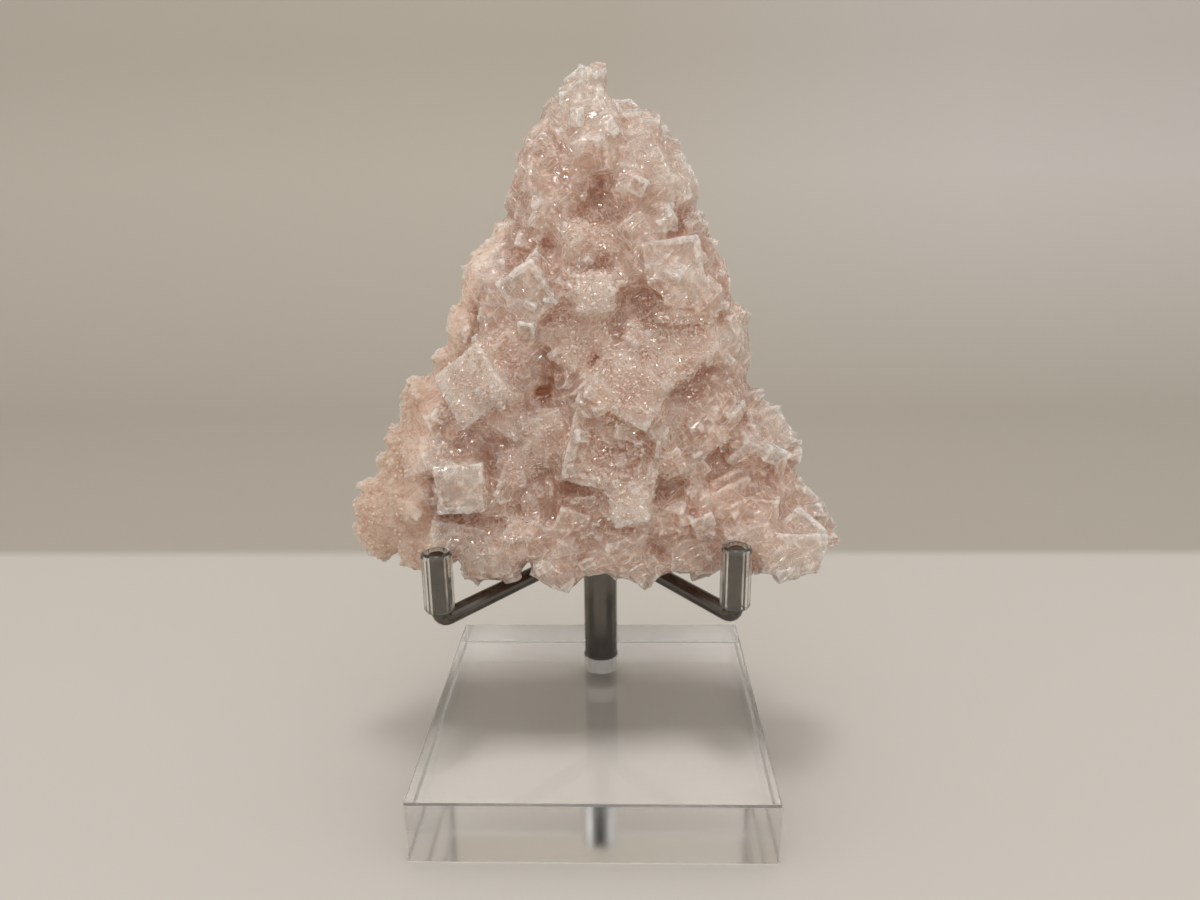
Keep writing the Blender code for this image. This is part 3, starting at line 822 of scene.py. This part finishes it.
def saltPatterns(tree):
    # everything that the salt's colour, relief and gloss are worked out from
    look = haliteLook
    place = addNode(tree, "ShaderNodeTexCoord").outputs["Object"]
    warp = addNode(
        tree, "ShaderNodeTexNoise", {"Scale": patternScale(look["bendSize"]), "Detail": 2.0},
        {"Vector": place},
    ).outputs["Color"]
    drift = addNode(
        tree, "ShaderNodeVectorMath", {"Scale": look["bend"] * mm}, {0: warp},
        operation="SCALE",
    ).outputs[0]
    bent = addNode(
        tree, "ShaderNodeVectorMath", {}, {0: place, 1: drift}, operation="ADD"
    ).outputs[0]
    found = {
        name: addNode(tree, "ShaderNodeAttribute", attribute_name=name).outputs["Fac"]
        for name in ("hill", "edge", "pale", "pocket", "crust", "wet", "sugar")
    }
    for name, size, settings in (
        ("clouds", look["cloudSize"], {"Detail": 4.0, "Roughness": 0.55}),
        ("veils", look["veilSize"], {"Detail": 5.0, "Roughness": 0.65, "Distortion": 0.6}),
        ("powder", look["powderSize"], {"Detail": 6.0, "Roughness": 0.7}),
        ("crumpled", look["crumpleSize"], {"Detail": 4.0}),
    ):
        found[name] = addNode(
            tree, "ShaderNodeTexNoise", {"Scale": patternScale(size), **settings},
            {"Vector": place},
        ).outputs[0]
    found["broad"] = leaning(tree, bent, look["broadFace"], 0.31)
    found["small"] = leaning(tree, bent, look["smallFace"], 0.17)
    found["glint"] = leaning(tree, place, look["glintFace"], 0.53)[0]
    lines = None
    for size, pitch, turn, axis in lineSets:
        more = growthLines(tree, bent, size, pitch, turn, axis)
        if lines:
            more = addNode(
                tree, "ShaderNodeMath", {}, {0: lines, 1: more}, operation="MAXIMUM"
            ).outputs[0]
        lines = more
    found["lines"] = lines
    return found


def saltColour(tree, found):
    # milky pink, white lines, painted shade deeper in hollows, painted highlights white on
    # ridges, rust and painted shade in pockets
    look = haliteLook
    broken = addNode(
        tree, "ShaderNodeMapRange",
        {"From Min": 0.4, "From Max": 0.62, "To Min": 1.25, "To Max": 0.35},
        {"Value": found["veils"]},
    ).outputs[0]
    pocket = addNode(
        tree, "ShaderNodeMath", {}, {0: found["pocket"], 1: broken}, operation="MULTIPLY"
    ).outputs[0]
    broadShare, broadRim = found["broad"][1:]
    smallShare, smallRim = found["small"][1:]
    crust = layered(tree, look["tan"], [(found["powder"], 0.38, 0.6, 1.0, look["cream"])])
    return layered(
        tree, look["pink"],
        [
            (found["clouds"], 0.36, 0.64, 1.0, look["milky"]),
            (broadShare, 0.3, 1.0, 0.55, look["salmon"]),
            (smallShare, 0.3, 1.0, 0.25, look["milky"]),
            # painted shade: salmon deepens in the hollows, where the hill measure is low
            (found["hill"], 0.5, 0.05, 0.9, look["salmon"]),
            # painted highlight: ridges and sharp edges lightened to white
            (found["edge"], 0.6, 1.3, 0.25, look["white"]),
            (broadRim, 0.05, 0.0, 0.35, look["white"]),
            (smallRim, 0.05, 0.0, 0.12, look["white"]),
            (found["lines"], 0.0, 1.0, 0.7, look["white"]),
            (found["pale"], 0.0, 1.0, 0.6, look["white"]),
            # rust spots, and salmon painted shade in the modelled hollows; rust where strongest
            (pocket, 0.15, 0.9, 0.75, look["salmon"]),
            (pocket, 1.0, 1.5, 0.9, look["rust"]),
            (found["veils"], 0.5, 0.75, 0.25, look["white"]),
            (found["crust"], 0.0, 1.0, 1.0, crust),
        ],
    )


def saltRelief(tree, found):
    # the finest faces, lines and crumples, each bump laid on the last
    glitter = addNode(
        tree, "ShaderNodeMath", {}, {0: found["glint"], 1: found["wet"]},
        operation="MULTIPLY",
    ).outputs[0]
    grain = addNode(
        tree, "ShaderNodeMath", {}, {0: found["powder"], 1: found["crust"]},
        operation="MULTIPLY",
    ).outputs[0]
    normal = None
    for height, strength, distance in (
        (found["broad"][0], 1.0, 0.3), (found["small"][0], 1.0, 0.08),
        (found["lines"], 1.0, 0.0003), (found["crumpled"], 0.12, 0.0004),
        (glitter, 1.0, 1.7), (grain, 0.8, 0.0012),
    ):
        links = {"Height": height}
        if normal:
            links["Normal"] = normal
        normal = addNode(
            tree, "ShaderNodeBump", {"Strength": strength, "Distance": distance}, links
        ).outputs[0]
    return normal


def saltRoughness(tree, found):
    # wet faces shine, veiled ones less, and the crust hardly
    look = haliteLook
    veiled, wetted, crusted = [
        addNode(
            tree, "ShaderNodeMapRange",
            {"From Min": start, "From Max": end, "To Min": low, "To Max": high},
            {"Value": found[name]},
        ).outputs[0]
        for name, start, end, low, high in (
            ("veils", 0.35, 0.65, look["wet"], look["dry"]),
            ("wet", 0.0, 1.0, 1.0, 0.5),
            ("crust", 0.0, 1.0, 0.0, look["crustDull"]),
        )
    ]
    gloss = addNode(
        tree, "ShaderNodeMath", {}, {0: veiled, 1: wetted}, operation="MULTIPLY"
    ).outputs[0]
    return addNode(
        tree, "ShaderNodeMath", {}, {0: gloss, 1: crusted}, operation="ADD"
    ).outputs[0]


def saltClearness(tree, found):
    # cloudy along its edges, where it is sugary and on its crust, clear between
    clear = haliteLook["clear"]
    clouded = found["crust"]
    for name, start, end, cover in (
        ("edge", 0.55, 1.1, 0.25), ("sugar", 0.0, 1.0, 0.5), ("veils", 0.45, 0.7, 0.3),
    ):
        more = addNode(
            tree, "ShaderNodeMapRange",
            {"From Min": start, "From Max": end, "To Min": 0.0, "To Max": cover},
            {"Value": found[name]},
        ).outputs[0]
        clouded = addNode(
            tree, "ShaderNodeMath", {}, {0: clouded, 1: more}, operation="ADD"
        ).outputs[0]
    return addNode(
        tree, "ShaderNodeMapRange",
        {"From Min": 0.0, "From Max": clear, "To Min": clear, "To Max": 0.0},
        {"Value": clouded},
    ).outputs[0]


def haliteFinish():
    # natural rock salt, grown in brine: cloudy, wet-looking faces with thin pale
    # growth lines, painted highlights on its ridges, and painted shade, a deeper salmon, in its
    # hollows
    material, tree, shader = newMaterial("rock salt, cloudy")
    found = saltPatterns(tree)
    tree.links.new(saltColour(tree, found), shader.inputs["Base Color"])
    tree.links.new(saltRelief(tree, found), shader.inputs["Normal"])
    tree.links.new(saltRoughness(tree, found), shader.inputs["Roughness"])
    tree.links.new(saltClearness(tree, found), shader.inputs["Transmission Weight"])
    shader.inputs["IOR"].default_value = haliteLook["refraction"]
    shader.inputs["Subsurface Weight"].default_value = 1.0
    shader.inputs["Subsurface Scale"].default_value = haliteLook["scatter"] * mm
    shader.inputs["Subsurface Radius"].default_value = (1.0, 1.0, 1.0)
    return material


grainLook = {
    "sugar": {"dark": "#CFB4A3", "light": "#E6D0C2", "roughness": 0.1},
    "crumbs": {"dark": "#D3B49C", "light": "#E3C9B5", "roughness": 0.55},
    "cloudSize": 3.33333,
    "pitSize": 0.384615,
    "pitDepth": 0.3,
}


def grainFinish(name, look):
    # separate small grains of salt: pale, with sugary ones glossy, so that they
    # catch the light, and crumbs of crust dull
    material, tree, shader = newMaterial(name)
    place = addNode(tree, "ShaderNodeTexCoord").outputs["Object"]
    clouds, pits = [
        addNode(
            tree, "ShaderNodeTexNoise", {"Scale": patternScale(size), "Detail": 3.0},
            {"Vector": place},
        ).outputs[0]
        for size in (grainLook["cloudSize"], grainLook["pitSize"])
    ]
    base = layered(tree, look["dark"], [(clouds, 0.38, 0.62, 1.0, look["light"])])
    tree.links.new(base, shader.inputs["Base Color"])
    bump = addNode(
        tree, "ShaderNodeBump", {"Strength": 0.3, "Distance": grainLook["pitDepth"] * mm},
        {"Height": pits},
    )
    tree.links.new(bump.outputs[0], shader.inputs["Normal"])
    shader.inputs["Roughness"].default_value = look["roughness"]
    shader.inputs["IOR"].default_value = haliteLook["refraction"]
    return material


def letLampsThrough(tree, shader):
    # lamps light what lies behind the clear piece, as they do through real sheet
    passed = (0.85, 0.85, 0.85, 1.0)
    shadow = addNode(tree, "ShaderNodeLightPath").outputs["Is Shadow Ray"]
    clearWay = addNode(tree, "ShaderNodeBsdfTransparent", {"Color": passed}).outputs[0]
    mixed = addNode(
        tree, "ShaderNodeMixShader", {}, {0: shadow, 1: shader.outputs[0], 2: clearWay}
    )
    tree.links.new(mixed.outputs[0], tree.nodes["Material Output"].inputs["Surface"])


# Roughness of the block's faces, and the size of its smudges in millimetres
acrylicLook = {
    "polished": 0.05,
    "sawn": 0.14,
    "eased": 0.55,
    "smudge": 0.06,
    "smudgeSize": 16.6667,
    "refraction": 1.49,
}


def acrylicFinish():
    # cast acrylic: its top and underside keep the sheet's polish, its sides are
    # buffed to a slight haze, and its scraped edges stay matt and soft to the eye
    look = acrylicLook
    material, tree, shader = newMaterial("cast acrylic, buffed sides")
    coordinates = addNode(tree, "ShaderNodeTexCoord").outputs
    smudge = addNode(
        tree, "ShaderNodeTexNoise",
        {"Scale": patternScale(look["smudgeSize"]), "Detail": 5.0},
        {"Vector": coordinates["Object"]},
    ).outputs[0]
    up = addNode(tree, "ShaderNodeSeparateXYZ", {}, {0: coordinates["Normal"]}).outputs[2]
    level = addNode(tree, "ShaderNodeMath", {}, {0: up}, operation="ABSOLUTE").outputs[0]
    rough = None
    for share, start, end, low, high in (
        (level, 0.05, 0.2, look["sawn"], look["eased"]),
        (level, 0.9, 0.99, 0.0, look["polished"] - look["eased"]),
        (smudge, 0.4, 0.75, 0.0, look["smudge"]),
    ):
        more = addNode(
            tree, "ShaderNodeMapRange",
            {"From Min": start, "From Max": end, "To Min": low, "To Max": high},
            {"Value": share},
        ).outputs[0]
        if rough:
            more = addNode(
                tree, "ShaderNodeMath", {}, {0: rough, 1: more}, operation="ADD"
            ).outputs[0]
        rough = more
    tree.links.new(rough, shader.inputs["Roughness"])
    shader.inputs["Base Color"].default_value = (1.0, 1.0, 1.0, 1.0)
    shader.inputs["IOR"].default_value = look["refraction"]
    shader.inputs["Transmission Weight"].default_value = 1.0
    letLampsThrough(tree, shader)
    return material


vinylLook = {
    "tint": "#F2F1EC",
    "smooth": 0.04,
    "hazy": 0.22,
    "hazeSize": 2.0,
    "refraction": 1.53,
}


def vinylFinish():
    # soft extruded vinyl tube: clear, slightly hazy
    look = vinylLook
    material, tree, shader = newMaterial("clear vinyl")
    place = addNode(tree, "ShaderNodeTexCoord").outputs["Object"]
    haze = addNode(
        tree, "ShaderNodeTexNoise", {"Scale": patternScale(look["hazeSize"]), "Detail": 4.0},
        {"Vector": place},
    ).outputs[0]
    rough = addNode(
        tree, "ShaderNodeMapRange",
        {"From Min": 0.4, "From Max": 0.7, "To Min": look["smooth"], "To Max": look["hazy"]},
        {"Value": haze},
    ).outputs[0]
    tree.links.new(rough, shader.inputs["Roughness"])
    shader.inputs["Base Color"].default_value = linear(look["tint"])
    shader.inputs["IOR"].default_value = look["refraction"]
    shader.inputs["Transmission Weight"].default_value = 1.0
    letLampsThrough(tree, shader)
    return material


steelLook = {
    "bright": "#6A655F",
    "dull": "#58534E",
    "smooth": 0.17,
    "marked": 0.23,
    "markSize": 0.909091,
    "markDepth": 0.1,
    "markSquash": 0.06,  # the smaller, the longer the marks run upward
    "stainSize": 8.33333,
}


def steelFinish():
    # bright drawn steel rod: dark grey, with faint upright marks in its shine
    look = steelLook
    material, tree, shader = newMaterial("drawn steel")
    place = addNode(tree, "ShaderNodeTexCoord").outputs["Object"]
    drawn = addNode(
        tree, "ShaderNodeVectorMath", {1: (1.0, 1.0, look["markSquash"])}, {0: place},
        operation="MULTIPLY",
    ).outputs[0]
    marks = addNode(
        tree, "ShaderNodeTexNoise",
        {"Scale": patternScale(look["markSize"]), "Detail": 3.0, "Roughness": 0.5},
        {"Vector": drawn},
    ).outputs[0]
    stain = addNode(
        tree, "ShaderNodeTexNoise", {"Scale": patternScale(look["stainSize"]), "Detail": 4.0},
        {"Vector": place},
    ).outputs[0]
    base = layered(tree, look["bright"], [(stain, 0.35, 0.7, 1.0, look["dull"])])
    tree.links.new(base, shader.inputs["Base Color"])
    rough = addNode(
        tree, "ShaderNodeMapRange",
        {"From Min": 0.3, "From Max": 0.7, "To Min": look["smooth"], "To Max": look["marked"]},
        {"Value": marks},
    ).outputs[0]
    tree.links.new(rough, shader.inputs["Roughness"])
    bump = addNode(
        tree, "ShaderNodeBump", {"Strength": 0.03, "Distance": look["markDepth"] * mm},
        {"Height": marks},
    )
    tree.links.new(bump.outputs[0], shader.inputs["Normal"])
    shader.inputs["Metallic"].default_value = 1.0
    return material


# The stage, the lamps and their sizes are in metres
studio = {
    "floor": -0.0002,  # a hair under the base, so that its clear underside shows
    "tableEdge": 0.128,  # where the pale table gives way to the backdrop
    "edgeBlur": 0.004,
    "wall": 0.60,
    "wallTop": 1.0,
    "cove": 0.25,
    "coveSteps": 24,
    "side": 2.0,
    "front": -1.5,
    "tableColour": "#C5BFB7",
    "wallColour": "#B7AFA3",
    # painted shade: the backdrop's foot, up to footHeight
    "wallFootShade": "#A9A297",
    "footHeight": 0.15,
    "wallRightLit": "#C2BCB6",  # painted light: the backdrop is lighter and a little cooler on its right
    "rightBlend": 0.3,
    "roughness": 0.7,
}


def makeStage():
    # a table that runs up into a backdrop in one sweep
    floor, cove, steps = studio["floor"], studio["cove"], studio["coveSteps"]
    profile = [(studio["front"], floor), (studio["tableEdge"], floor)]
    centre = (studio["wall"] - cove, cove + floor)
    for step in range(steps + 1):
        angle = -math.pi / 2 + math.pi / 2 * step / steps
        profile.append(
            (centre[0] + cove * math.cos(angle), centre[1] + cove * math.sin(angle))
        )
    profile.append((studio["wall"], studio["wallTop"]))
    points = []
    for y, z in profile:
        points += [(-studio["side"], y, z), (studio["side"], y, z)]
    faces = [(2 * i, 2 * i + 1, 2 * i + 3, 2 * i + 2) for i in range(len(profile) - 1)]
    mesh = bpy.data.meshes.new("studioSweep")
    mesh.from_pydata(points, [], faces)
    mesh.shade_smooth()
    sweep = objectFrom(mesh, "studioSweep")
    setFinish(sweep, sweepFinish())
    print("stage: sweep of", len(faces), "faces")


def sweepFinish():
    # painted sheet: matt, pale on the table, with painted shade darker at the backdrop's foot
    # and painted light on the backdrop's right
    material, tree, shader = newMaterial("matt studio sweep")
    place = addNode(tree, "ShaderNodeTexCoord").outputs["Object"]
    x, y, z = addNode(tree, "ShaderNodeSeparateXYZ", {}, {0: place}).outputs
    edge, blur = studio["tableEdge"], studio["edgeBlur"]
    wall = studio["wallColour"]
    # painted light: the backdrop lighter and cooler on its right
    wall = layered(tree, wall, [(x, 0.0, studio["rightBlend"], 1.0, studio["wallRightLit"])])
    # painted shade: the backdrop darker at its foot, by the table
    wall = layered(tree, studio["wallFootShade"], [(z, 0.0, studio["footHeight"], 1.0, wall)])
    base = layered(tree, studio["tableColour"], [(y, edge - blur, edge + blur, 1.0, wall)])
    tree.links.new(base, shader.inputs["Base Color"])
    shader.inputs["Roughness"].default_value = studio["roughness"]
    return material


lighting = {
    "fill": 0.96,
    "fillColour": "#FFFDFA",
    "lamp": {
        "power": 2.2, "size": 0.2, "colour": "#FFFFFF",
        "place": (0.0, -0.05, 1.0), "target": (0.0, -0.05, 0.0),
    },
    "spark": {  # a small lamp in front, for glints on wet faces
        "power": 4.0, "size": 0.1, "colour": "#FFFAF4",
        "place": (-0.30, -0.55, 0.62), "target": (0.0, 0.0, 0.1),
    },
}


def areaLight(name, settings):
    light = bpy.data.lights.new(name, "AREA")
    light.shape = "RECTANGLE"
    light.size = settings["size"]
    light.size_y = settings["size"]
    light.energy = settings["power"]
    light.color = linear(settings["colour"])[:3]
    lamp = objectFrom(light, name)
    place = Vector(settings["place"])
    direction = Vector(settings["target"]) - place
    lamp.matrix_world = (
        Matrix.Translation(place) @ direction.to_track_quat("-Z", "Y").to_matrix().to_4x4()
    )
    lamp.visible_camera = False
    return lamp


def makeLights():
    # an even fill, a soft lamp overhead, and the spark, which is handed back
    world = bpy.data.worlds.new("studioFill")
    scene.world = world
    world.use_nodes = True
    background = world.node_tree.nodes["Background"]
    background.inputs["Color"].default_value = linear(lighting["fillColour"])
    background.inputs["Strength"].default_value = lighting["fill"]
    areaLight("softboxOverhead", lighting["lamp"])
    spark = areaLight("softboxFront", lighting["spark"])
    spark.visible_diffuse = False  # it only glints, and throws no second shadow
    print("lights: fill, lamp overhead and lamp in front")
    return spark


def lightOnly(lamp, pieces):
    # the lamp leaves everything but these pieces alone
    lit = bpy.data.collections.new(lamp.name + "Pieces")
    for piece in pieces:
        lit.objects.link(piece)
    lamp.light_linking.receiver_collection = lit


# Where the camera stands in millimetres, and its turns in radians
viewpoint = {
    "place": (6.534, -196.317, 139.510),
    "yaw": 0.0254909,
    "pitch": 0.290566,
    "roll": -0.0111949,
    "sensor": 36.0,
    "lens": 26.542,
    "nearest": 10.0,
}


def makeCamera():
    camera = bpy.data.cameras.new("viewpoint")
    camera.sensor_width = viewpoint["sensor"]
    camera.lens = viewpoint["lens"]
    camera.clip_start = viewpoint["nearest"] * mm
    piece = objectFrom(camera, "viewpoint")
    piece.matrix_world = (
        Matrix.Translation(Vector(viewpoint["place"]) * mm)
        @ Matrix.Rotation(viewpoint["yaw"], 4, "Z")
        @ Matrix.Rotation(math.pi / 2 - viewpoint["pitch"], 4, "X")
        @ Matrix.Rotation(viewpoint["roll"], 4, "Z")
    )
    scene.camera = piece
    print("camera: lens", camera.lens, "mm")


def dressStand():
    for finish, names in (
        (acrylicFinish(), ("acrylic_base",)),
        (vinylFinish(), ("sleeve_left", "sleeve_right", "sleeve_back")),
        (steelFinish(), ("post", "arm_left", "arm_right", "back_prong")),
    ):
        for name in names:
            setFinish(frame["nodes"][name], finish)
        print("stand:", ", ".join(names), "in", finish.name)


def dressHalite():
    body = haliteFinish()
    sugar = grainFinish("rock salt, sugary", grainLook["sugar"])
    crumbs = grainFinish("salt crust, crumbs", grainLook["crumbs"])
    growing = growTree()
    coarse = makeCoarse()
    cloud = makeCluster(coarse, growing)
    setFinish(cloud, body)
    bpy.data.objects.remove(coarse)
    cubes = [unitCube("grainCube", 0, 1.0, 0.5)]
    nuggets = [unitCrumb("nuggetA", 1), unitCrumb("nuggetB", 2)]
    pieces = [
        cloud,
        grow("halite_sugar", growth["sugar"], cubes, cloud, growing, sugar),
        grow("halite_crust", growth["crust"], nuggets, cloud, growing, crumbs),
    ]
    for piece in pieces:
        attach(piece, "root")
        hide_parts("halite")
    return pieces


scene.view_settings.view_transform = "Standard"
scene.cycles.max_bounces = 20
scene.cycles.diffuse_bounces = 8
scene.cycles.transmission_bounces = 16
makeStage()
makeCamera()
dressStand()
spark = makeLights()
lightOnly(spark, dressHalite())
